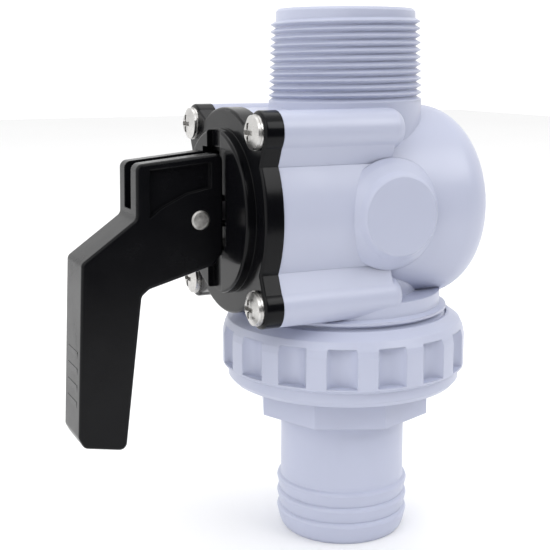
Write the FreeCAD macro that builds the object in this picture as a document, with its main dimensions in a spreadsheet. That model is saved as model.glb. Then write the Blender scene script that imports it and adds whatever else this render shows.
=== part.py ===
import FreeCAD, Part
# Lever-operated diaphragm valve with a male pipe thread inlet and a union hose tail.
#
# Frame: millimetres, +Z up along the pipe. The origin is the centre of the hose tail's end
# face. The valve axis (stem, cover, drum) lies along X at axis_height; the lever is on -X.
import os
import re

import Sketcher
from FreeCAD import Placement, Rotation, Vector

doc = FreeCAD.newDocument("diaphragm_valve")

# ----------------------------------------------------------------------------- sizes
SIZES = [
    # pipe line
    ("axis_height", 107.5, "hose end face to valve axis"),
    ("inlet_reach", 61.7, "valve axis to inlet end face"),
    ("inlet_bore", 19.0, "inlet bore radius"),
    ("inlet_crest", 24.25, "inlet thread crest radius at its foot"),
    ("inlet_pitch", 2.209, "inlet thread pitch, 11.5 per inch"),
    ("inlet_thread_depth", 1.55, "inlet thread depth"),
    ("inlet_thread_foot", 34.2, "valve axis to the thread's foot"),
    ("inlet_turned", -120.0, "start of the inlet thread round the pipe, in degrees"),
    ("inlet_lead", 3.0, "length of the plain lead at the inlet mouth"),
    ("pipe_taper", 0.03125, "radius lost per millimetre of pipe thread"),
    # drum
    ("drum_radius", 31.4, "outside radius of the drum"),
    ("drum_reach", 39.2, "valve axis centre to closed drum end"),
    ("drum_round", 12.5, "rounding of the closed drum end"),
    ("drum_wall", 5.4, "wall of the drum"),
    ("flange_reach", 36.0, "pipe axis to cover joint"),
    ("web_thickness", 5.0, "partition between inlet and outlet"),
    ("boss_radius", 11.8, "flat of the blind side boss"),
    ("boss_foot_radius", 15.6, "foot of the blind side boss"),
    ("boss_rise", 3.3, "height of the side boss over the drum"),
    ("boss_offset", 1.2, "side boss centre from the pipe axis"),
    ("lug_radius", 6.2, "screw lug radius on the body"),
    ("lug_run", 5.0, "screw lug end past the pipe axis"),
    ("web_half", 8.4, "half width of a screw lug's web at the drum"),
    ("web_shoulder", 30.5, "valve axis to the shoulders of the webs"),
    ("screw_span", 51.0, "screw spacing, both ways"),
    ("pilot_radius", 2.1, "screw hole radius in the body"),
    ("pilot_depth", 19.0, "screw hole depth in the body"),
    # union
    ("neck_radius", 31.2, "plain neck under the drum"),
    ("neck_top", 27.0, "valve axis to the neck's ledge"),
    ("union_top", 31.4, "valve axis to the union thread's top"),
    ("union_face", 50.0, "valve axis to the union seat"),
    ("union_crest", 33.3, "union thread crest radius"),
    ("union_pitch", 2.8, "union thread pitch"),
    ("union_thread_depth", 1.5, "union thread depth"),
    ("outlet_bore", 21.0, "bore radius through the union neck"),
    ("nut_radius", 39.4, "nut radius over the grip ribs"),
    ("nut_band_radius", 37.6, "nut radius at its plain lower band"),
    ("nut_foot_radius", 36.3, "nut radius at its lower edge"),
    ("nut_top", 34.2, "valve axis to the nut's top"),
    ("nut_mouth", 34.3, "nut outside radius at its top edge"),
    ("nut_shoulder", 7.0, "height of the nut's rounded shoulder"),
    ("nut_rib_end", 51.2, "valve axis to the end of the grip ribs"),
    ("nut_pocket_radius", 5.0, "grip pocket radius"),
    ("nut_pocket_centre", 41.1, "grip pocket axis from the pipe axis"),
    ("nut_pocket_top", 38.6, "valve axis to the top of the grip pockets"),
    ("nut_turned", 5.6, "nut turned round the pipe, in degrees"),
    ("nut_pockets", 16, "number of grip pockets"),
    ("nut_lip", 2.8, "thickness of the nut's lower lip"),
    ("thread_play", 0.12, "radial play of the union nut"),
    # hose tail
    ("tail_flange", 4.0, "thickness of the tail's sealing flange"),
    ("tail_flange_play", 0.6, "flange radius under the nut's bore"),
    ("collar_flats", 26.3, "inscribed radius of the octagonal collar"),
    ("collar_end", 40.4, "hose end face to the collar"),
    ("collar_play", 0.5, "nut lip clearance over the collar's corners"),
    ("hose_radius", 20.25, "plain radius of the hose tail"),
    ("ring_radius", 21.5, "radius over the hose rings"),
    ("ring_pitch", 5.2, "spacing of the hose rings"),
    ("ring_top", 17.6, "hose end face to the first ring's shoulder"),
    ("ring_count", 3, "number of hose rings"),
    ("hose_tip", 19.3, "radius at the hose end"),
    ("tail_bore", 16.8, "bore radius of the hose tail"),
    ("tail_bore_end", 40.0, "hose end face to where the tail's bore opens out"),
    ("tail_bore_flare", 6.0, "length over which the tail's bore opens out"),
    ("seal_mean", 25.2, "union seal mean radius"),
    ("seal_cord", 1.6, "union seal cord radius"),
    ("seal_squeeze", 0.15, "gap kept between the seal's cord and its groove"),
    # cover
    ("cover_radius", 31.7, "cover disc radius"),
    ("cover_lug", 6.3, "screw lug radius on the cover"),
    ("cover_plate", 5.8, "thickness of the cover plate"),
    ("hub_radius", 25.3, "radius of the raised hub"),
    ("hub_rise", 3.2, "hub face over the plate"),
    ("channel_depth", 2.0, "depth of the channel across the hub"),
    ("channel_half", 5.5, "half width of the channel across the hub"),
    ("cheek_top_share", 0.51, "share of the lever's reach that is cheek"),
    ("relief_margin", 2.5, "relief length to spare at each end"),
    ("plate_edge", 0.9, "rounding of the cover plate's rim"),
    ("hub_edge", 0.8, "rounding of the hub's rim"),
    ("stem_way", 0.3, "radial play of the stem in the cover"),
    ("seal_room_share", 2.6, "seal room length in cord radii"),
    ("relief_start", 5.5, "pivot to the lower end of the reliefs"),
    ("pocket_margin", 1.2, "pocket length to spare at each end of the cheeks"),
    ("pocket_depth", 3.0, "depth of the cheeks' pocket in the hub"),
    ("channel_play", 0.55, "side clearance of the lever in its pocket"),
    ("relief_depth", 3.3, "depth of the cam reliefs under the pocket"),
    ("chamber_radius", 21.0, "spring chamber radius in the cover"),
    ("chamber_depth", 1.0, "spring chamber depth in the cover"),
    ("guide_radius", 9.2, "outside radius of the stem guide"),
    ("guide_end", 32.0, "pipe axis to the stem guide's inner end"),
    ("screw_clearance", 0.4, "screw clearance in the cover"),
    # screws
    ("washer_radius", 5.2, "washer radius"),
    ("washer_thickness", 0.7, "washer thickness"),
    ("head_radius", 5.0, "screw head radius"),
    ("head_height", 2.4, "screw head height"),
    ("recess_width", 1.3, "cross recess width"),
    ("recess_span", 5.6, "cross recess span"),
    ("recess_depth", 1.6, "cross recess depth"),
    # working parts
    ("clamp_radius", 28.5, "diaphragm rim radius"),
    ("clamp_thickness", 2.4, "diaphragm rim thickness"),
    ("crown_radius", 25.3, "outer radius of the diaphragm's crown"),
    ("crown_centre", 39.3, "pipe axis to the crown's centre"),
    ("crown_thickness", 2.5, "diaphragm thickness at the crown"),
    ("crown_gap", 0.3, "compressor clearance inside the crown"),
    ("compressor_rim", 27.0, "pipe axis to the compressor's rim"),
    ("spring_pocket", 12.0, "spring pocket radius in the compressor"),
    ("spring_floor", 21.0, "pipe axis to the spring pocket's floor"),
    ("post_radius", 7.0, "compressor boss radius"),
    ("post_rise", 0.9, "compressor boss over the spring pocket's floor"),
    ("spring_mean", 10.35, "spring mean radius"),
    ("spring_sides", 12, "flats round the spring wire"),
    ("spring_wire", 0.75, "spring wire radius"),
    ("spring_turns", 3.5, "spring turns"),
    ("thrust_washer", 1.0, "thrust washer thickness"),
    ("stem_radius", 2.9, "stem radius"),
    ("stem_play", 0.06, "radial play of sliding and turning fits"),
    ("bush_radius", 4.9, "stem bush outside radius"),
    ("bush_length", 2.6, "stem bush length"),
    ("stem_seal_cord", 1.1, "stem seal cord radius"),
    ("stem_inner_end", 20.0, "pipe axis to the stem's inner end"),
    ("stud_radius", 1.5, "diaphragm stud radius"),
    ("stud_head", 4.0, "diaphragm stud head radius"),
    ("stud_head_thickness", 1.0, "diaphragm stud head thickness"),
    # lever
    ("pivot_reach", 52.7, "pipe axis to the lever pin"),
    ("pivot_drop", 1.2, "lever pin under the valve axis"),
    ("pin_radius", 2.9, "lever pin radius"),
    ("pin_proud", 0.6, "lever pin end over the cheek"),
    ("eye_radius", 6.0, "stem eye radius"),
    ("eye_play", 0.3, "side clearance of the stem eye"),
    ("lever_width", 17.5, "lever width along Y"),
    ("slot_width", 6.4, "slot between the lever's cheeks"),
    ("cheek_gap", 7.3, "lever pin to the cheeks' upright edge"),
    ("cheek_rise", 19.8, "lever pin to the top of the cheeks"),
    ("lever_reach", 38.3, "lever pin to the grip's outer end"),
    ("lever_drop", 67.8, "lever pin down to the grip's end"),
    ("grip_end_width", 14.3, "grip depth at its lower end"),
    ("lever_edge", 1.0, "rounding of the lever's long edges"),
    ("lever_wall", 3.0, "wall of the hollow grip"),
    ("panel_depth", 1.5, "depth of the cheek panels"),
]
WORDS = {alias for alias, _, _ in SIZES}

sheet = doc.addObject("Spreadsheet::Sheet", "sizes")
for row, (alias, number, meaning) in enumerate(SIZES, start=1):
    sheet.set(f"A{row}", meaning)
    sheet.set(f"B{row}", str(number))
    sheet.setAlias(f"B{row}", alias)
doc.recompute()


def linked(formula):
    """The same formula with each size's alias pointing at the sheet."""
    return re.sub(r"[a-z_]+", lambda word: f"sizes.{word[0]}" if word[0] in WORDS else word[0], formula)


def size(formula):
    """The present value of a formula of sizes."""
    return float(sheet.evalExpression(formula))


def tie(obj, **formulas):
    """Bind properties to formulas; a double underscore stands for a dot."""
    for name, formula in formulas.items():
        obj.setExpression(name.replace("__", "."), linked(formula))


def place(obj, x="0", y="0", z="0", rotation=None):
    """Put an object at a place worked out from the sheet."""
    if rotation:
        obj.Placement = Placement(Vector(), rotation)
    tie(obj, Placement__Base__x=x, Placement__Base__y=y, Placement__Base__z=z)
    return obj


TO_MINUS_X = Rotation(Vector(0, 1, 0), -90)  # turns +Z to -X
TO_MINUS_Y = Rotation(Vector(1, 0, 0), 90)   # turns +Z to -Y
HALF_SPAN = "screw_span/2"
FOUR_CORNERS = [("-", ""), ("", ""), ("-", "-"), ("", "-")]  # signs of Y and Z


# ------------------------------------------------------------------------- modelling
def plane_of(body, role):
    return next(item for item in body.Origin.OriginFeatures if item.Role == role)


def draw(sketch, corners):
    """Straight edges through the corners, every corner tied to the sheet."""
    points = [Vector(size(across), size(up), 0) for across, up in corners]
    count = len(points)
    for index, start in enumerate(points):
        sketch.addGeometry(Part.LineSegment(start, points[(index + 1) % count]), False)
    for index, (corner, point) in enumerate(zip(corners, points)):
        sketch.addConstraint(Sketcher.Constraint("Coincident", index, 2, (index + 1) % count, 1))
        for kind, formula, value in zip(("DistanceX", "DistanceY"), corner, point):
            number = sketch.addConstraint(Sketcher.Constraint(kind, -1, 1, index, 1, value))
            sketch.setExpression(f"Constraints[{number}]", linked(formula))
    return sketch


def outline(body, corners, role="XZ_Plane"):
    """A closed sketch on one of the body's own planes."""
    sketch = body.newObject("Sketcher::SketchObject", body.Name + "_outline")
    sketch.AttachmentSupport = [(plane_of(body, role), "")]
    sketch.MapMode = "FlatFace"
    return draw(sketch, corners)


def new_body(name):
    return doc.addObject("PartDesign::Body", name)


def turned(name, corners, about="V_Axis"):
    """A solid of revolution. About V the corners are (radius, Z), about H (X, radius)."""
    body = new_body(name)
    sketch = outline(body, corners)
    feature = body.newObject("PartDesign::Revolution", name + "_turn")
    feature.Profile = sketch
    feature.ReferenceAxis = (sketch, [about])
    feature.Angle = 360
    doc.recompute()
    return body


def extruded(name, corners, width):
    """An XZ outline given a width along Y, half to each side."""
    body = new_body(name)
    feature = body.newObject("PartDesign::Pad", name + "_pad")
    feature.Profile = outline(body, corners)
    feature.SideType = "Symmetric"
    tie(feature, Length=width)
    doc.recompute()
    return body


def rounded(body, radius, wanted):
    """Fillet the body's edges that wanted(edge) picks."""
    base = body.Tip
    names = [f"Edge{number}" for number, edge in enumerate(base.Shape.Edges, 1) if wanted(edge)]
    if not names:
        raise RuntimeError(f"{body.Name}: no edge to round")
    fillet = body.newObject("PartDesign::Fillet", body.Name + "_round")
    fillet.Base = (base, names)
    tie(fillet, Radius=radius)
    doc.recompute()
    return body


def circle_edge(radius, station=None, axis=0):
    """Picks full circles of one radius, at one station along X (0) or Z (2)."""
    def wanted(edge):
        curve = edge.Curve
        if not isinstance(curve, Part.Circle) or abs(curve.Radius - radius) > 1e-3:
            return False
        return station is None or abs(curve.Center[axis] - station) < 1e-3
    return wanted


def cylinder(name, radius, length):
    solid = doc.addObject("Part::Cylinder", name)
    tie(solid, Radius=radius, Height=length)
    return solid


def box(name, along, across, up):
    solid = doc.addObject("Part::Box", name)
    tie(solid, Length=along, Width=across, Height=up)
    return solid


def joined(name, pieces):
    result = doc.addObject("Part::MultiFuse", name)
    result.Shapes = pieces
    result.Refine = True
    doc.recompute()
    return result


def less(name, base, *tools):
    """base with every tool taken away."""
    tool = tools[0] if len(tools) == 1 else joined(name + "_tools", list(tools))
    result = doc.addObject("Part::Cut", name)
    result.Base, result.Tool = base, tool
    result.Refine = True
    doc.recompute()
    return result


def thread_ridge(name, root, foot, depth, pitch, length, taper="0"):
    """One helical ridge of V section, right-handed, rising from a root cylinder or cone."""
    base = f"{pitch}*0.46"
    crest = f"{pitch}*0.07"
    section = draw(doc.addObject("Sketcher::SketchObject", name + "_section"), [
        (f"{root}-0.3", f"-{base}"), (root, f"-{base}"), (f"{root}+{depth}", f"-{crest}"),
        (f"{root}+{depth}", crest), (root, base), (f"{root}-0.3", base),
    ])
    section.Placement = Placement(Vector(), Rotation(Vector(1, 0, 0), 90))
    line = doc.addObject("Part::Helix", name + "_line")
    tie(line, Radius=root, Pitch=pitch, Height=length)
    if taper != "0":
        tie(line, Angle=f"-atan({taper})")
    ridge = doc.addObject("Part::Sweep", name)
    ridge.Sections, ridge.Spine = [section], (line, [])
    ridge.Solid, ridge.Frenet = True, True
    turn = Rotation(Vector(0, 0, 1), size("inlet_turned"))
    return place(ridge, z=f"axis_height+({foot})", rotation=turn)


NODES = {}


def keep(name, piece):
    """Register a finished sub-part under the name of its node."""
    piece.Label = name
    NODES[name] = piece
    return piece


# ------------------------------------------------------------------------ valve body
def inlet_nipple():
    """Core and ridge of a tapered pipe thread with a plain lead at its mouth."""
    foot_root = "(inlet_crest-inlet_thread_depth)"
    tip_root = f"({foot_root}-(inlet_reach-inlet_thread_foot)*pipe_taper)"
    core = turned("inlet_core", [
        ("0", "web_thickness"), ("inlet_crest", "web_thickness"), ("inlet_crest", "inlet_thread_foot-1"),
        (foot_root, "inlet_thread_foot"), (f"{tip_root}+0.1", "inlet_reach-0.8"),
        (f"{tip_root}-0.6", "inlet_reach"), ("0", "inlet_reach"),
    ])
    length = "inlet_reach-inlet_lead-inlet_thread_foot+inlet_pitch/2"
    ridge = thread_ridge("inlet_ridge", foot_root, "inlet_thread_foot-inlet_pitch/2",
                         "inlet_thread_depth", "inlet_pitch", length, "pipe_taper")
    return place(core, z="axis_height"), ridge


def union_neck():
    """Ledge, plain neck and male union thread under the drum."""
    inner = "outlet_bore+3"
    root = "(union_crest-union_thread_depth)"
    corners = [
        ("0", "-neck_top/2"), (inner, "-neck_top/2"), (inner, "-neck_top"), ("neck_radius", "-neck_top"),
        ("neck_radius", "-union_top"), ("union_crest", "-union_top-0.6"),
    ]
    turns = int(size("(union_face-union_top-1.4)/union_pitch"))
    for turn in range(turns):
        crown = f"-union_top-0.6-union_pitch*({turn}+0.3)"
        corners += [
            ("union_crest", crown), (root, f"{crown}-union_pitch*0.3"),
            (root, f"{crown}-union_pitch*0.4"), ("union_crest", f"{crown}-union_pitch*0.7"),
        ]
    corners += [("union_crest", "-union_face+0.8"), (f"{root}-0.2", "-union_face"), ("0", "-union_face")]
    return place(turned("union_neck", corners), z="axis_height")


def drum():
    """Cylinder along X, closed and rounded at +X."""
    shell = turned("drum", [
        ("-flange_reach", "0"), ("drum_reach", "0"), ("drum_reach", "drum_radius"),
        ("-flange_reach", "drum_radius"),
    ], about="H_Axis")
    rounded(shell, "drum_round", circle_edge(size("drum_radius"), size("drum_reach")))
    return place(shell, z="axis_height")


def lug_webs(prefix, lug, start, thickness, edge=None):
    """Four wedges that join round screw lugs to the disc or drum inside them."""
    webs = []
    reach = f"({HALF_SPAN})*sqrt(2)"
    half = size(thickness) / 2

    def flank(corner):
        return corner.CenterOfMass.y < 0.01 - half and corner.BoundBox.XLength > 1

    for number, (side, level) in enumerate(FOUR_CORNERS, 1):
        web = extruded(f"{prefix}_{number}", [
            ("web_shoulder/2", "-web_half"), ("web_shoulder", "-web_half"),
            (reach, f"-{lug}"), (reach, lug),
            ("web_shoulder", "web_half"), ("web_shoulder/2", "web_half"),
        ], thickness)
        if edge:
            rounded(web, edge, flank)
        out = Vector(0, -1 if side else 1, -1 if level else 1)
        along = Vector(1, 0, 0)
        webs.append(place(web, x=f"{start}+({thickness})/2", z="axis_height",
                          rotation=Rotation(out, along, out.cross(along), "XYZ")))
    return webs


def body_lugs():
    """Four round screw lugs that run back along the drum and fade out round."""
    lugs = []
    for number, (side, level) in enumerate(FOUR_CORNERS, 1):
        lug = turned(f"body_lug_{number}", [
            ("-flange_reach", "0"), ("lug_run", "0"), ("lug_run", "lug_radius"),
            ("-flange_reach", "lug_radius"),
        ], about="H_Axis")
        rounded(lug, "lug_radius*0.6", circle_edge(size("lug_radius"), size("lug_run")))
        place(lug, y=f"{side}{HALF_SPAN}", z=f"axis_height+({level}{HALF_SPAN})")
        lugs.append(lug)
    web_run = "flange_reach+lug_run-lug_radius*0.6"
    return lugs + lug_webs("body_web", "lug_radius", "-flange_reach", web_run)



def side_boss():
    """Blind round boss on the -Y side with a hollow-cheeked foot."""
    top = "drum_radius+boss_rise"
    boss = turned("side_boss", [
        ("0", "drum_radius*0.9"), ("boss_foot_radius+1.5", "drum_radius*0.9"),
        ("boss_foot_radius", "drum_radius-1.2"), ("boss_radius+1.6", f"{top}-2.2"),
        ("boss_radius+0.5", f"{top}-0.5"), ("boss_radius", top), ("0", top),
    ])
    return place(boss, x="boss_offset", z="axis_height", rotation=TO_MINUS_Y)


def flow_space():
    """Everything hollow inside the body, with the partition left standing."""
    chamber = turned("drum_space", [
        ("-flange_reach-1", "0"), ("drum_reach-drum_wall", "0"),
        ("drum_reach-drum_wall", "drum_radius-drum_wall"),
        ("-flange_reach+clamp_thickness", "drum_radius-drum_wall"),
        ("-flange_reach+clamp_thickness", "clamp_radius"), ("-flange_reach-1", "clamp_radius"),
    ], about="H_Axis")
    rounded(chamber, "drum_round-drum_wall",
            circle_edge(size("drum_radius-drum_wall"), size("drum_reach-drum_wall")))
    place(chamber, z="axis_height")
    inlet = place(cylinder("inlet_space", "inlet_bore", "inlet_reach+1"), z="axis_height")
    outlet = place(cylinder("outlet_space", "outlet_bore", "union_face+1"), z="axis_height-union_face-1")
    slab = box("web_slab", "flange_reach+drum_reach", "drum_radius*2", "web_thickness")
    place(slab, x="-flange_reach+clamp_thickness", y="-drum_radius", z="axis_height-web_thickness/2")
    crown = doc.addObject("Part::Sphere", "crown_space")
    tie(crown, Radius="crown_radius+0.02")
    place(crown, x="-crown_centre", z="axis_height")
    web = less("web", slab, crown)
    return less("flow_space", joined("open_space", [chamber, inlet, outlet]), web)


def screw_holes(prefix, radius, start, length):
    """Four holes along X on the screw pattern, from start towards +X."""
    holes = []
    for number, (side, level) in enumerate(FOUR_CORNERS, 1):
        hole = cylinder(f"{prefix}_{number}", radius, length)
        place(hole, x=start, y=f"{side}{HALF_SPAN}", z=f"axis_height+({level}{HALF_SPAN})",
              rotation=Rotation(Vector(0, 1, 0), 90))
        holes.append(hole)
    return holes


def valve_body():
    nipple, ridge = inlet_nipple()
    solid = joined("body_solid", [drum(), *body_lugs(), nipple, union_neck(), side_boss()])
    holes = screw_holes("pilot", "pilot_radius", "-flange_reach-1", "pilot_depth+1")
    bored = less("body_open", solid, flow_space(), *holes)
    keep("valve_body", joined("body_threaded", [bored, ridge]))


# ----------------------------------------------------------------------------- cover
HUB_FACE = "(flange_reach+cover_plate+hub_rise)"
CHEEK_FACE = f"({HUB_FACE}-pocket_depth)"
BUSH_FACE = f"({CHEEK_FACE}-relief_depth)"


def cover():
    """Lobed plate with a raised hub, a lever channel, a spring chamber and a stem guide."""
    face = -size("flange_reach+cover_plate")

    def round_plate(name, radius):
        piece = turned(name, [
            ("-flange_reach-cover_plate", "0"), ("-flange_reach", "0"), ("-flange_reach", radius),
            ("-flange_reach-cover_plate", radius),
        ], about="H_Axis")
        return rounded(piece, "plate_edge", circle_edge(size(radius), face))

    pieces = [place(round_plate("cover_disc", "cover_radius"), z="axis_height")]
    for number, (side, level) in enumerate(FOUR_CORNERS, 1):
        lug = round_plate(f"cover_lug_{number}", "cover_lug")
        pieces.append(place(lug, y=f"{side}{HALF_SPAN}", z=f"axis_height+({level}{HALF_SPAN})"))
    pieces += lug_webs("cover_web", "cover_lug", "-flange_reach-cover_plate", "cover_plate",
                       "plate_edge")
    hub = turned("cover_hub", [
        (f"-{HUB_FACE}", "0"), ("-flange_reach-1", "0"), ("-flange_reach-1", "hub_radius"),
        (f"-{HUB_FACE}", "hub_radius"),
    ], about="H_Axis")
    rounded(hub, "hub_edge", circle_edge(size("hub_radius"), -size(HUB_FACE)))
    guide = turned("stem_guide", [
        ("-flange_reach-chamber_depth-1", "0"), ("-guide_end", "0"), ("-guide_end", "guide_radius"),
        ("-flange_reach-chamber_depth-1", "guide_radius"),
    ], about="H_Axis")
    chamber = turned("spring_chamber", [
        ("-flange_reach-chamber_depth", "0"), ("-flange_reach+1", "0"),
        ("-flange_reach+1", "chamber_radius"), ("-flange_reach-chamber_depth", "chamber_radius"),
    ], about="H_Axis")
    place(hub, z="axis_height")
    place(guide, z="axis_height")
    place(chamber, z="axis_height")
    outside = joined("cover_outside", [*pieces, hub])
    hollow = less("cover_hollow", outside, chamber)
    solid = joined("cover_solid", [hollow, guide])
    channel = box("hub_channel", "channel_depth+1", "2*channel_half", "3*hub_radius")
    place(channel, x=f"-{HUB_FACE}-1", y="-channel_half", z="axis_height-1.5*hub_radius")
    pocket = box("cheek_pocket", "pocket_depth+1", "lever_width+2*channel_play",
                 "lever_reach*cheek_top_share+cheek_gap+2*pocket_margin")
    place(pocket, x=f"-{HUB_FACE}-1", y="-lever_width/2-channel_play",
          z="axis_height-pivot_drop-cheek_gap-pocket_margin")
    reliefs = []
    for number, side in enumerate((1, -1), 1):
        relief = box(f"cam_relief_{number}", "relief_depth+1",
                     "(lever_width-slot_width)/2+channel_play+eye_play", "cheek_rise+2*relief_margin")
        inner = f"{side}*(slot_width/2-eye_play)"
        if side < 0:
            inner = "-lever_width/2-channel_play"
        place(relief, x=f"-{CHEEK_FACE}-1", y=inner, z="axis_height-pivot_drop-relief_start")
        reliefs.append(relief)
    bore = cylinder("bush_space", "bush_radius", "3*cover_plate")
    place(bore, x=f"-{BUSH_FACE}+bush_length", z="axis_height", rotation=TO_MINUS_X)
    stem_hole = cylinder("stem_space", "stem_radius+stem_way", "4*cover_plate")
    place(stem_hole, x="-guide_end+1", z="axis_height", rotation=TO_MINUS_X)
    seal_room = cylinder("stem_seal_space", "stem_radius+2*stem_seal_cord",
                         "seal_room_share*stem_seal_cord")
    place(seal_room, x=f"-{BUSH_FACE}+bush_length+seal_room_share*stem_seal_cord", z="axis_height",
          rotation=TO_MINUS_X)
    holes = screw_holes("cover_hole", "pilot_radius+screw_clearance", "-flange_reach-cover_plate-1",
                        "cover_plate+2")
    keep("cover", less("cover_open", solid, channel, pocket, *reliefs, bore, stem_hole, seal_room,
                       *holes))


def cover_screws():
    """Pan-head screws with a cross recess, each over a plain washer."""
    seat = "(flange_reach+cover_plate)"
    under_head = f"({seat}+washer_thickness)"
    top = f"({under_head}+head_height)"
    for number, (side, level) in enumerate(FOUR_CORNERS, 1):
        where = {"y": f"{side}{HALF_SPAN}", "z": f"axis_height+({level}{HALF_SPAN})"}
        washer = turned(f"screw_washer_{number}", [
            (f"-{under_head}", "pilot_radius+0.2"), (f"-{seat}", "pilot_radius+0.2"),
            (f"-{seat}", "washer_radius"), (f"-{under_head}", "washer_radius"),
        ], about="H_Axis")
        keep(f"screw_washer_{number}", place(washer, **where))
        blank = turned(f"screw_blank_{number}", [
            (f"-{top}", "0"), ("-flange_reach+pilot_depth-1", "0"),
            ("-flange_reach+pilot_depth-2.5", "pilot_radius"),
            (f"-{under_head}", "pilot_radius"), (f"-{under_head}", "head_radius"),
            (f"-{under_head}-0.9", "head_radius"), (f"-{top}+1", "head_radius-0.9"),
            (f"-{top}+0.2", "head_radius-2.4"),
        ], about="H_Axis")
        place(blank, **where)
        bars = []
        slots = (("recess_span", "recess_width"), ("recess_width", "recess_span"))
        for turn, (across, up) in enumerate(slots):
            bar = box(f"cross_{number}_{turn}", "recess_depth+1", across, up)
            bars.append(place(bar, x=f"-{top}-1", y=f"{where['y']}-({across})/2",
                              z=f"{where['z']}-({up})/2"))
        point = doc.addObject("Part::Cone", f"cross_point_{number}")
        tie(point, Radius1="recess_width", Radius2="0.3", Height="recess_depth+0.8")
        place(point, x=f"-{top}", rotation=Rotation(Vector(0, 1, 0), 90), **where)
        keep(f"cover_screw_{number}", less(f"screw_{number}", blank, *bars, point))


# --------------------------------------------------------------------- working parts
def sphere_piece(name, radius):
    ball = doc.addObject("Part::Sphere", name)
    tie(ball, Radius=radius)
    return place(ball, x="-crown_centre", z="axis_height")


def slab_along_x(name, near, far, radius):
    """Round slab between X=-near and X=-far, with far nearer the pipe axis."""
    slab = cylinder(name, radius, f"({near})-({far})")
    return place(slab, x=f"-({far})", z="axis_height", rotation=TO_MINUS_X)


def common(name, first, second):
    result = doc.addObject("Part::MultiCommon", name)
    result.Shapes = [first, second]
    result.Refine = True
    doc.recompute()
    return result


STUD_BED = "(crown_centre-crown_radius+0.9)"


def diaphragm():
    """Rubber cup: a flat rim clamped by the cover and a round crown on the partition."""
    crown = common("crown_solid", sphere_piece("crown_ball", "crown_radius"),
                   slab_along_x("crown_slab", "flange_reach", "crown_centre-crown_radius-1",
                                "clamp_radius"))
    rim = slab_along_x("rim_slab", "flange_reach", "flange_reach-clamp_thickness", "clamp_radius-0.02")
    solid = joined("diaphragm_solid", [crown, rim])
    inside = sphere_piece("crown_inside", "crown_radius-crown_thickness")
    bed = slab_along_x("stud_bed", f"{STUD_BED}+stud_head_thickness+0.3", f"{STUD_BED}-0.15",
                       "stud_head+0.15")
    keep("diaphragm", less("diaphragm_open", solid, inside, bed,
                           slab_along_x("stud_way", "flange_reach", STUD_BED, "stud_radius+0.2")))


def compressor():
    """Round pusher that backs the crown and holds the spring's inner end."""
    ball = sphere_piece("compressor_ball", "crown_radius-crown_thickness-crown_gap")
    blank = common("compressor_solid", ball,
                   slab_along_x("compressor_slab", "compressor_rim", "crown_centre-crown_radius",
                                "clamp_radius"))
    pocket = less("spring_pocket_space",
                  slab_along_x("pocket_outer", "compressor_rim+1", "spring_floor", "spring_pocket"),
                  slab_along_x("pocket_post", "spring_floor+post_rise", "spring_floor-1", "post_radius"))
    socket = slab_along_x("stem_socket", "compressor_rim+1", "stem_inner_end", "stem_radius")
    stud_hole = slab_along_x("stud_hole", "compressor_rim", "crown_centre-crown_radius-1", "stud_radius")
    keep("compressor", less("compressor_open", blank, pocket, socket, stud_hole))


def stud():
    """Moulded-in stud that ties the diaphragm's crown to the stem."""
    bed_top = f"({STUD_BED}+stud_head_thickness)"
    keep("diaphragm_stud", place(turned("stud_turn", [
        (f"-{bed_top}", "0"), (f"-{STUD_BED}", "0"), (f"-{STUD_BED}", "stud_head"),
        (f"-{bed_top}", "stud_head"), (f"-{bed_top}", "stud_radius"), ("-stem_inner_end-8", "stud_radius"),
        ("-stem_inner_end-8", "0"),
    ], about="H_Axis"), z="axis_height"))


def stem():
    """Round stem with a flat eye for the lever pin."""
    shank = slab_along_x("stem_shank", "pivot_reach-eye_radius", "stem_inner_end", "stem_radius")
    thickness = "slot_width-2*eye_play"
    tongue = box("stem_tongue", f"pivot_reach-{HUB_FACE}", thickness, "2*stem_radius")
    place(tongue, x="-pivot_reach", y="-slot_width/2+eye_play", z="axis_height-stem_radius-pivot_drop/2")
    eye = cylinder("stem_eye", "eye_radius", thickness)
    place(eye, x="-pivot_reach", y="slot_width/2-eye_play", z="axis_height-pivot_drop", rotation=TO_MINUS_Y)
    solid = joined("stem_solid", [shank, tongue, eye])
    hole = cylinder("eye_hole", "pin_radius+stem_play", "lever_width")
    place(hole, x="-pivot_reach", y="lever_width/2", z="axis_height-pivot_drop", rotation=TO_MINUS_Y)
    stud_socket = slab_along_x("stud_socket", "stem_inner_end+8", "stem_inner_end-1", "stud_radius")
    keep("stem", less("stem_open", solid, hole, stud_socket))


def bush_and_seals():
    """Plain bush and cord seal round the stem, and the seal of the union."""
    keep("stem_bush", place(turned("bush_turn", [
        (f"-{BUSH_FACE}+0.1", "stem_radius+stem_play"),
        (f"-{BUSH_FACE}+bush_length", "stem_radius+stem_play"),
        (f"-{BUSH_FACE}+bush_length", "bush_radius"), (f"-{BUSH_FACE}+0.1", "bush_radius"),
    ], about="H_Axis"), z="axis_height"))
    ring = doc.addObject("Part::Torus", "stem_seal")
    tie(ring, Radius1="stem_radius+stem_seal_cord+0.02", Radius2="stem_seal_cord-0.03")
    place(ring, x=f"-{BUSH_FACE}+bush_length+1.3*stem_seal_cord", z="axis_height", rotation=TO_MINUS_X)
    keep("stem_oring", ring)
    seal = doc.addObject("Part::Torus", "union_seal")
    tie(seal, Radius1="seal_mean", Radius2="seal_cord-0.03")
    place(seal, z="axis_height-union_face-seal_cord")
    keep("union_oring", seal)


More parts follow.
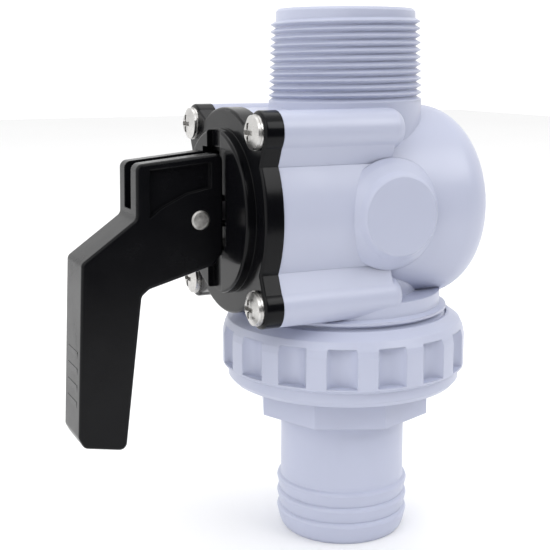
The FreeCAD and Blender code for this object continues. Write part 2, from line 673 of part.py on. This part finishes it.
def return_spring():
    """Open coil between the cover and the compressor, over a thrust washer."""
    washer = turned("thrust_washer_turn", [
        ("-spring_floor-thrust_washer", "spring_mean-1.9"), ("-spring_floor", "spring_mean-1.9"),
        ("-spring_floor", "spring_mean+1.2"), ("-spring_floor-thrust_washer", "spring_mean+1.2"),
    ], about="H_Axis")
    keep("spring_washer", place(washer, z="axis_height"))
    span = "flange_reach+chamber_depth-spring_floor-thrust_washer-2*spring_wire-0.1"
    coil = doc.addObject("Part::Helix", "spring_line")
    tie(coil, Radius="spring_mean", Height=span, Pitch=f"({span})/spring_turns")
    wire = doc.addObject("Part::RegularPolygon", "spring_section")
    tie(wire, Circumradius="spring_wire", Polygon="spring_sides")
    wire.Placement = Placement(Vector(), Rotation(Vector(1, 0, 0), 90))
    tie(wire, Placement__Base__x="spring_mean")
    sweep = doc.addObject("Part::Sweep", "spring_sweep")
    sweep.Sections, sweep.Spine = [wire], (coil, [])
    sweep.Solid, sweep.Frenet = True, True
    place(sweep, x="-spring_floor-thrust_washer-spring_wire-0.05", z="axis_height", rotation=TO_MINUS_X)
    doc.recompute()
    keep("return_spring", sweep)


# ----------------------------------------------------------------------------- lever
def lever():
    """Two cheeks on the pin, joined into a cranked grip that is hollow behind."""
    body = extruded("lever_body", [
        ("cheek_gap", "cheek_rise"),
        ("-lever_reach*cheek_top_share", "cheek_rise-2.6"),
        ("-lever_reach*0.515", "pin_radius*0.45"),
        ("-lever_reach+2.1", "-10.6"),
        ("-lever_reach", "-lever_drop+5.6"),
        ("-lever_reach+1.6", "-lever_drop+2.4"),
        ("-lever_reach+grip_end_width", "-lever_drop"),
        ("-lever_reach+grip_end_width+5.6", "-21.6"),
        ("-lever_reach+grip_end_width+8", "-19.7"),
        ("-5.5", "-16.8"),
        ("cheek_gap-3", "-14"),
        ("cheek_gap", "-10.4"),
    ], "lever_width")
    half = size("lever_width/2")

    def crank_corner(edge):
        return edge.BoundBox.YLength > 1.9 * half

    def cheek_outline(edge):
        return edge.BoundBox.YLength < 1e-3

    rounded(body, "2.2", crank_corner)
    rounded(body, "lever_edge", cheek_outline)
    slot = extruded("lever_slot", [
        ("cheek_gap+5", "cheek_rise+5"), ("-lever_reach", "cheek_rise+5"),
        ("-lever_reach", "cheek_rise*0.62"), ("-8.4", "-1.5"), ("-8.4", "-8.6"), ("cheek_gap+5", "-8.6"),
    ], "slot_width")
    cut_tools = [slot]
    for number, side in enumerate((1, -1), 1):
        panel = extruded(f"cheek_panel_{number}", [
            ("-15.5", "cheek_rise-4.3"), ("3.4", "cheek_rise-2.8"), ("3.4", "9.5"), ("-4", "8"),
            ("-11.7", "4.3"), ("-15.7", "1.3"),
        ], "2*panel_depth")
        place(panel, y=f"{side}*lever_width/2")
        cut_tools.append(panel)
    for number, (low, high) in enumerate((("-lever_drop+4", "-lever_drop+16"), ("-lever_drop+18", "-lever_drop+30"),
                                          ("-lever_drop+32", "-lever_drop+44")), 1):
        cell = extruded(f"grip_cell_{number}", [
            ("-lever_reach+4", low), ("-lever_reach+40", low), ("-lever_reach+40", high),
            ("-lever_reach+4.2", high),
        ], "lever_width-2*lever_wall")
        cut_tools.append(cell)
    hole = cylinder("lever_pin_hole", "pin_radius", "2*lever_width")
    place(hole, y="lever_width", rotation=TO_MINUS_Y)
    cut_tools.append(hole)
    shaped = less("lever_shaped", body, *cut_tools)
    bars = []
    for number in range(4):
        bar = box(f"grip_bar_{number}", "1.6", "lever_width-7", "1.8")
        place(bar, x=f"-lever_reach+1.1-0.6-0.041*(lever_drop-21-5*{number})+1.75", y="-lever_width/2+3.5",
              z=f"-lever_drop+14+5*{number}")
        bars.append(bar)
    whole = joined("lever_whole", [shaped, *bars])
    keep("handle", place(whole, x="-pivot_reach", z="axis_height-pivot_drop"))


def pivot_pin():
    """Plain pin with eased ends, tight in the cheeks and running in the stem eye."""
    half = "(lever_width/2+pin_proud)"
    pin = turned("pin_turn", [
        ("0", f"-{half}"), ("pin_radius-0.5", f"-{half}"), ("pin_radius", f"-{half}+0.5"),
        ("pin_radius", f"{half}-0.5"), ("pin_radius-0.5", half), ("0", half),
    ])
    keep("pivot_pin", place(pin, x="-pivot_reach", z="axis_height-pivot_drop", rotation=TO_MINUS_Y))


# ------------------------------------------------------------------- union and hose tail
LIP_BORE = "(collar_flats/cos(22.5)+collar_play)"
THREAD_BORE = "(union_crest+thread_play)"


def union_nut():
    """Ribbed ring nut with closed grip pockets and an inner lip under the tail's flange."""
    foot = "(-union_face-tail_flange-nut_lip)"
    nut = turned("nut_turn", [
        (THREAD_BORE, "-nut_top"), ("nut_mouth", "-nut_top"),
        ("nut_radius-1.6", "-nut_top-nut_shoulder*0.34"),
        ("nut_radius-0.4", "-nut_top-nut_shoulder*0.7"), ("nut_radius", "-nut_top-nut_shoulder"),
        ("nut_radius", "-nut_rib_end"), ("nut_band_radius", "-nut_rib_end-1.1"),
        ("nut_band_radius", f"{foot}+1.5"), ("nut_foot_radius", foot), (LIP_BORE, foot),
        (LIP_BORE, f"{foot}+nut_lip"), (THREAD_BORE, f"{foot}+nut_lip"),
    ])
    ring_volume = nut.Shape.Volume
    sketch = nut.newObject("Sketcher::SketchObject", "nut_pocket_outline")
    sketch.AttachmentSupport = [(plane_of(nut, "XY_Plane"), "")]
    sketch.MapMode = "FlatFace"
    tie(sketch, AttachmentOffset__Base__z="-nut_pocket_top")
    step = 360 / size("nut_pockets")
    centre = Rotation(Vector(0, 0, 1), step / 2).multVec(Vector(size("nut_pocket_centre"), 0, 0))
    sketch.addGeometry(Part.Circle(centre, Vector(0, 0, 1), size("nut_pocket_radius")), False)
    for kind, formula, first in (("DistanceX", "nut_pocket_centre*cos(180/nut_pockets)", centre.x),
                                 ("DistanceY", "nut_pocket_centre*sin(180/nut_pockets)", centre.y)):
        number = sketch.addConstraint(Sketcher.Constraint(kind, -1, 1, 0, 3, first))
        sketch.setExpression(f"Constraints[{number}]", linked(formula))
    number = sketch.addConstraint(Sketcher.Constraint("Radius", 0, size("nut_pocket_radius")))
    sketch.setExpression(f"Constraints[{number}]", linked("nut_pocket_radius"))
    pocket = nut.newObject("PartDesign::Pocket", "nut_pocket")
    pocket.Profile = sketch
    tie(pocket, Length="nut_rib_end-nut_pocket_top-0.6")
    doc.recompute()
    if nut.Shape.Volume > ring_volume - 1:
        raise RuntimeError("nut pocket cuts nothing")
    pattern = nut.newObject("PartDesign::PolarPattern", "nut_pocket_ring")
    pattern.Originals = [pocket]
    pattern.Axis = (plane_of(nut, "Z_Axis"), [""])
    pattern.Angle = 360
    tie(pattern, Occurrences="nut_pockets")
    nut.Tip = pattern
    keep("union_nut", place(nut, z="axis_height", rotation=Rotation(Vector(0, 0, 1), size("nut_turned"))))


def tailpiece():
    """Sealing flange, octagonal collar and ringed hose tail in one moulding."""
    top = "(axis_height-union_face)"
    under = f"({top}-tail_flange)"
    corners = [("tail_bore", "0"), ("hose_tip", "0"), ("hose_tip+0.9", "1.1")]
    for number in reversed(range(int(size("ring_count")))):
        shoulder = f"(ring_top-{number}*ring_pitch)"
        corners += [
            ("hose_radius+0.4", f"{shoulder}-ring_pitch+0.35"), ("ring_radius", f"{shoulder}-1.3"),
            ("ring_radius-0.3", f"{shoulder}-0.45"), ("hose_radius+0.2", shoulder),
        ]
    corners += [
        ("hose_radius", "ring_top+1.2"), ("hose_radius", "collar_end+1"),
        ("collar_flats-1", "collar_end+1"),
        ("collar_flats-1", under), (f"{THREAD_BORE}-tail_flange_play", under),
        (f"{THREAD_BORE}-tail_flange_play", top), ("tail_bore", top),
    ]
    tail = turned("tail_turn", corners)
    collar = doc.addObject("Part::Prism", "tail_collar")
    collar.Polygon = 8
    tie(collar, Circumradius="collar_flats/cos(22.5)", Height=f"{under}-collar_end-0.5")
    place(collar, z="collar_end")
    bore = turned("tail_way", [
        ("0", "-1"), ("tail_bore", "-1"), ("tail_bore", "tail_bore_end"),
        ("outlet_bore", "tail_bore_end+tail_bore_flare"), ("outlet_bore", f"{top}+1"), ("0", f"{top}+1"),
    ])
    groove = less("seal_groove", place(cylinder("seal_groove_out", "seal_mean+seal_cord+seal_squeeze",
                                                "2*seal_cord"), z=f"{top}-2*seal_cord+0.03"),
                  place(cylinder("seal_groove_in", "seal_mean-seal_cord-seal_squeeze", "3*seal_cord"),
                        z=f"{top}-2.5*seal_cord"))
    solid = joined("tail_solid", [tail, collar])
    keep("tailpiece", less("tail_open", solid, bore, groove))


# ---------------------------------------------------------------------------- build
for make in (valve_body, cover, cover_screws, diaphragm, compressor, stud, stem, bush_and_seals,
             return_spring, lever, pivot_pin, union_nut, tailpiece):
    make()
doc.recompute()

for item in doc.Objects:
    if "Invalid" in item.State or "Error" in item.State:
        raise RuntimeError(f"{item.Name} ({item.Label}) failed: {item.State}")
for name, piece in NODES.items():
    shape = piece.Shape
    if shape.isNull() or not shape.isValid() or not shape.Solids:
        raise RuntimeError(f"{name}: bad shape")

os.makedirs("parts", exist_ok=True)
for name, piece in NODES.items():
    piece.Shape.exportStep(f"parts/{name}.step")
    limits = piece.Shape.BoundBox
    print(f"{name:16s} solids {len(piece.Shape.Solids)}  volume {piece.Shape.Volume / 1000:8.2f} cm3  "
          f"X {limits.XMin:7.2f} {limits.XMax:7.2f}  Y {limits.YMin:7.2f} {limits.YMax:7.2f}  "
          f"Z {limits.ZMin:7.2f} {limits.ZMax:7.2f}")
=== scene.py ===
"""Studio picture of a lever-operated diaphragm valve, built round its CAD frame."""
import math

import bpy
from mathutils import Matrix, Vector


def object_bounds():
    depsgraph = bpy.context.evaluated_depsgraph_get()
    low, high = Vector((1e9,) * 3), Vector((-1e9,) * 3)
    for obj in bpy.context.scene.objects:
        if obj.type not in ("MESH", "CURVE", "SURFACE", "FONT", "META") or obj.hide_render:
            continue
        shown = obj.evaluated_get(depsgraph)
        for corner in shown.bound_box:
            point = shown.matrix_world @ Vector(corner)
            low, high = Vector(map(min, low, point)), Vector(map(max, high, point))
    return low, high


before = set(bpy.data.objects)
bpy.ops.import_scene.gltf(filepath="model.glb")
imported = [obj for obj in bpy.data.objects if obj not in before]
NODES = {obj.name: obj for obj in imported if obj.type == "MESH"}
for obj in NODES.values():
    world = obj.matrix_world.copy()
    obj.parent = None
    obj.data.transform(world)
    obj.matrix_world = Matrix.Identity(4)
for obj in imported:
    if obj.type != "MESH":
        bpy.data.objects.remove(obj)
CAD_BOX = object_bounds()
MM = 0.001


# ------------------------------------------------------------------ node helpers
class Finish:
    """One Principled material and the nodes that feed it."""

    def __init__(self, name, colour, roughness, metallic=0.0, specular=0.5):
        self.material = bpy.data.materials.new(name)
        self.material.use_nodes = True
        self.tree = self.material.node_tree
        self.shader = self.tree.nodes["Principled BSDF"]
        self.shader.inputs["Base Color"].default_value = (*colour, 1)
        self.shader.inputs["Roughness"].default_value = roughness
        self.shader.inputs["Metallic"].default_value = metallic
        self.shader.inputs["Specular IOR Level"].default_value = specular
        self.place = self.node("ShaderNodeTexCoord").outputs["Object"]
        self.normal = None

    def node(self, kind, **settings):
        node = self.tree.nodes.new(kind)
        for key, value in settings.items():
            setattr(node, key, value)
        return node

    def link(self, source, target):
        self.tree.links.new(source, target)

    def stretched(self, stretch):
        mapping = self.node("ShaderNodeMapping")
        mapping.inputs["Scale"].default_value = stretch
        self.link(self.place, mapping.inputs["Vector"])
        return mapping.outputs["Vector"]

    def noise(self, size, detail=3.0, stretch=(1, 1, 1)):
        """Grey noise whose lumps are about size metres across."""
        noise = self.node("ShaderNodeTexNoise")
        noise.inputs["Scale"].default_value = 0.5 / size
        noise.inputs["Detail"].default_value = detail
        self.link(self.stretched(stretch), noise.inputs["Vector"])
        return noise.outputs["Fac"]

    def spread(self, grey, low, high, start=0.3, end=0.7):
        """The middle of a grey signal stretched to low .. high."""
        ranged = self.node("ShaderNodeMapRange")
        for socket, value in (("From Min", start), ("From Max", end), ("To Min", low), ("To Max", high)):
            ranged.inputs[socket].default_value = value
        self.link(grey, ranged.inputs["Value"])
        return ranged.outputs["Result"]

    def colours(self, grey, *stops):
        """Base colour read off a ramp of (place, colour) stops."""
        ramp = self.node("ShaderNodeValToRGB")
        for index, (at, colour) in enumerate(stops):
            stop = ramp.color_ramp.elements[index] if index < 2 else ramp.color_ramp.elements.new(at)
            stop.position, stop.color = at, (*colour, 1)
        self.link(grey, ramp.inputs["Fac"])
        self.link(ramp.outputs["Color"], self.shader.inputs["Base Color"])

    def roughness(self, grey):
        self.link(grey, self.shader.inputs["Roughness"])

    def soft_edges(self, radius):
        bevel = self.node("ShaderNodeBevel", samples=6)
        bevel.inputs["Radius"].default_value = radius
        self.normal = bevel.outputs["Normal"]
        self.link(self.normal, self.shader.inputs["Normal"])

    def bump(self, grey, height, strength=1.0):
        bump = self.node("ShaderNodeBump")
        bump.inputs["Distance"].default_value = height
        bump.inputs["Strength"].default_value = strength
        self.link(grey, bump.inputs["Height"])
        if self.normal:
            self.link(self.normal, bump.inputs["Normal"])
        self.normal = bump.outputs["Normal"]
        self.link(self.normal, self.shader.inputs["Normal"])


def tinted(colour, factor):
    """The colour made lighter or darker by a factor."""
    return tuple(min(1.0, channel * factor) for channel in colour)


def moulded(name, colour, roughness, mottle, edge, grain, specular=0.5):
    """Moulded plastic: faint flow mottling, uneven gloss and a very fine skin."""
    made = Finish(name, colour, roughness, specular=specular)
    made.colours(made.noise(18 * MM, stretch=(0.45, 1, 1)),
                 (0.30, tinted(colour, 1 - mottle)), (0.70, tinted(colour, 1 + mottle)))
    made.roughness(made.spread(made.noise(5 * MM), roughness * 0.85, roughness * 1.2))
    made.soft_edges(edge)
    made.bump(made.noise(9 * MM, 1.0), grain * 6, 0.35)
    made.bump(made.noise(0.5 * MM, 2.0), grain, 0.6)
    return made


def rubber(name, colour, roughness):
    """Matt moulded rubber with a fine grain."""
    made = Finish(name, colour, roughness)
    made.colours(made.noise(3 * MM), (0.3, tinted(colour, 0.8)), (0.7, tinted(colour, 1.5)))
    made.roughness(made.spread(made.noise(1.5 * MM), roughness * 0.9, roughness * 1.1))
    made.soft_edges(0.25 * MM)
    made.bump(made.noise(0.25 * MM), 0.02 * MM, 0.8)
    return made


def steel(name, colour, roughness, stretch, edge=0.15 * MM):
    """Turned or drawn stainless: fine scratches that run across the given stretch."""
    made = Finish(name, colour, roughness, metallic=1.0)
    made.colours(made.noise(2.5 * MM), (0.3, tinted(colour, 0.86)), (0.7, tinted(colour, 1.08)))
    scratches = made.noise(0.35 * MM, 4.0, stretch)
    made.roughness(made.spread(scratches, roughness * 0.7, roughness * 1.4))
    made.soft_edges(edge)
    made.bump(scratches, 0.012 * MM, 0.5)
    return made


WHITE = (0.485, 0.512, 0.64)
BLACK = (0.0030, 0.0031, 0.0040)
STEEL = (0.60, 0.59, 0.575)

white_body = moulded("white_body", WHITE, 0.34, 0.018, 0.45 * MM, 0.010 * MM)
white_nut = moulded("white_nut", tinted(WHITE, 0.99), 0.36, 0.018, 0.5 * MM, 0.010 * MM)
white_tail = moulded("white_tail", tinted(WHITE, 1.01), 0.36, 0.018, 0.4 * MM, 0.010 * MM)
black_cover = moulded("black_cover", BLACK, 0.20, 0.15, 0.35 * MM, 0.008 * MM, 0.16)
black_handle = moulded("black_handle", BLACK, 0.24, 0.15, 0.55 * MM, 0.008 * MM, 0.16)
natural = moulded("natural_plastic", (0.70, 0.69, 0.64), 0.42, 0.02, 0.2 * MM, 0.010 * MM)
dark_plastic = moulded("dark_plastic", (0.045, 0.045, 0.05), 0.45, 0.1, 0.3 * MM, 0.012 * MM)
black_rubber = rubber("black_rubber", (0.018, 0.018, 0.019), 0.72)
screw_steel = steel("screw_steel", STEEL, 0.33, (1, 0.6, 0.6))
washer_steel = steel("washer_steel", tinted(STEEL, 0.95), 0.28, (3, 0.5, 0.5), 0.1 * MM)
spring_steel = steel("spring_steel", tinted(STEEL, 0.85), 0.30, (0.3, 1, 1))
stud_steel = steel("stud_steel", STEEL, 0.25, (0.3, 2, 2))

pin_steel = Finish("pin_steel", (0.50, 0.49, 0.475), 0.45, metallic=1.0)
pin_steel.colours(pin_steel.noise(1.1 * MM, 4.0), (0.30, (0.28, 0.27, 0.26)), (0.62, (0.62, 0.61, 0.59)))
pin_steel.roughness(pin_steel.spread(pin_steel.noise(0.7 * MM), 0.35, 0.6))
pin_steel.soft_edges(0.3 * MM)
pin_steel.bump(pin_steel.noise(0.9 * MM, 4.0), 0.12 * MM, 0.8)

FINISHES = {
    "valve_body": white_body, "union_nut": white_nut, "tailpiece": white_tail,
    "cover": black_cover, "handle": black_handle, "pivot_pin": pin_steel,
    "stem": dark_plastic, "stem_bush": natural, "compressor": dark_plastic,
    "diaphragm": black_rubber, "stem_oring": black_rubber, "union_oring": black_rubber,
    "diaphragm_stud": stud_steel, "spring_washer": washer_steel, "return_spring": spring_steel,
}
for name, node in NODES.items():
    if name.startswith("cover_screw"):
        finish = screw_steel
    elif name.startswith("screw_washer"):
        finish = washer_steel
    else:
        finish = FINISHES[name]
    for slot in node.material_slots:
        slot.material = finish.material


# ------------------------------------------------------------------ floor and light
def lit_floor():
    """A pale sheet under the object that ends about 0.3 m in front of it."""
    left, right, front, back = -1.8, 1.8, -0.35, 2.6
    mesh = bpy.data.meshes.new("floor")
    corners = [(left, front, 0), (right, front, 0), (right, back, 0), (left, back, 0)]
    mesh.from_pydata(corners, [], [(0, 1, 2, 3)])
    floor = bpy.data.objects.new("floor", mesh)
    bpy.context.scene.collection.objects.link(floor)
    paper = Finish("paper", (0.93, 0.93, 0.93), 0.9, specular=0.1)
    paper.colours(paper.noise(400 * MM), (0.3, (0.92, 0.92, 0.92)), (0.7, (0.94, 0.94, 0.94)))
    mesh.materials.append(paper.material)


def softbox(name, at, aim, width, height, power):
    """A rectangular area light, in metres and watts, turned to face a point."""
    light = bpy.data.lights.new(name, "AREA")
    light.shape, light.size, light.size_y = "RECTANGLE", width, height
    light.energy = power
    lamp = bpy.data.objects.new(name, light)
    lamp.location = at
    lamp.rotation_euler = (aim - Vector(at)).to_track_quat("-Z", "Y").to_euler()
    bpy.context.scene.collection.objects.link(lamp)


MIDDLE = Vector([(low + high) / 2 for low, high in zip(*CAD_BOX)])

lit_floor()
softbox("key", (-0.95, -0.55, 0.95), MIDDLE, 0.8, 0.8, 3.0)
softbox("fill", (0.70, -0.85, 0.95), MIDDLE, 0.9, 0.7, 7.5)
softbox("top", (0.05, 0.30, 1.35), MIDDLE, 1.0, 1.0, 4.0)

WALL_LIGHT = 1.12
world = bpy.data.worlds.new("studio")
bpy.context.scene.world = world
world.use_nodes = True
background = world.node_tree.nodes["Background"]
background.inputs["Strength"].default_value = WALL_LIGHT
DARK_SIDE = (0.41, -0.90, -0.12)     # the studio is unlit in front and to the right


def studio_walls():
    """White walls all round but for a dark opening on the unlit side."""
    nodes, links = world.node_tree.nodes, world.node_tree.links
    coordinates = nodes.new("ShaderNodeTexCoord")
    facing = nodes.new("ShaderNodeVectorMath")
    facing.operation = "DOT_PRODUCT"
    facing.inputs[1].default_value = DARK_SIDE
    ramp = nodes.new("ShaderNodeValToRGB")
    walls, opening = ramp.color_ramp.elements
    walls.position, walls.color = 0.35, (1, 1, 1, 1)
    opening.position, opening.color = 0.80, (0.03, 0.03, 0.035, 1)
    links.new(coordinates.outputs["Generated"], facing.inputs[0])
    links.new(facing.outputs["Value"], ramp.inputs["Fac"])
    links.new(ramp.outputs["Color"], background.inputs["Color"])


studio_walls()

# ------------------------------------------------------------------ camera
CAMERA_AT = (-0.16673, -0.31091, 0.15326)
VIEW_TURN = math.radians(24.59)      # from +Y towards +X
VIEW_DROP = math.radians(8.28)
SENSOR_MM, LENS_MM = 36.0, 71.8
FRAMING_SHIFT = -0.10                # lowers the picture's frame
CLIP = (0.01, 20)                    # metres
sight = Vector((math.sin(VIEW_TURN) * math.cos(VIEW_DROP),
                math.cos(VIEW_TURN) * math.cos(VIEW_DROP), -math.sin(VIEW_DROP)))
lens = bpy.data.cameras.new("camera")
lens.sensor_width, lens.lens = SENSOR_MM, LENS_MM
lens.shift_y = FRAMING_SHIFT
lens.clip_start, lens.clip_end = CLIP
camera = bpy.data.objects.new("camera", lens)
camera.location = CAMERA_AT
camera.rotation_euler = sight.to_track_quat("-Z", "Y").to_euler()
bpy.context.scene.collection.objects.link(camera)
bpy.context.scene.camera = camera
bpy.context.scene.view_settings.view_transform = "Standard"
bpy.context.scene.view_settings.look = "None"
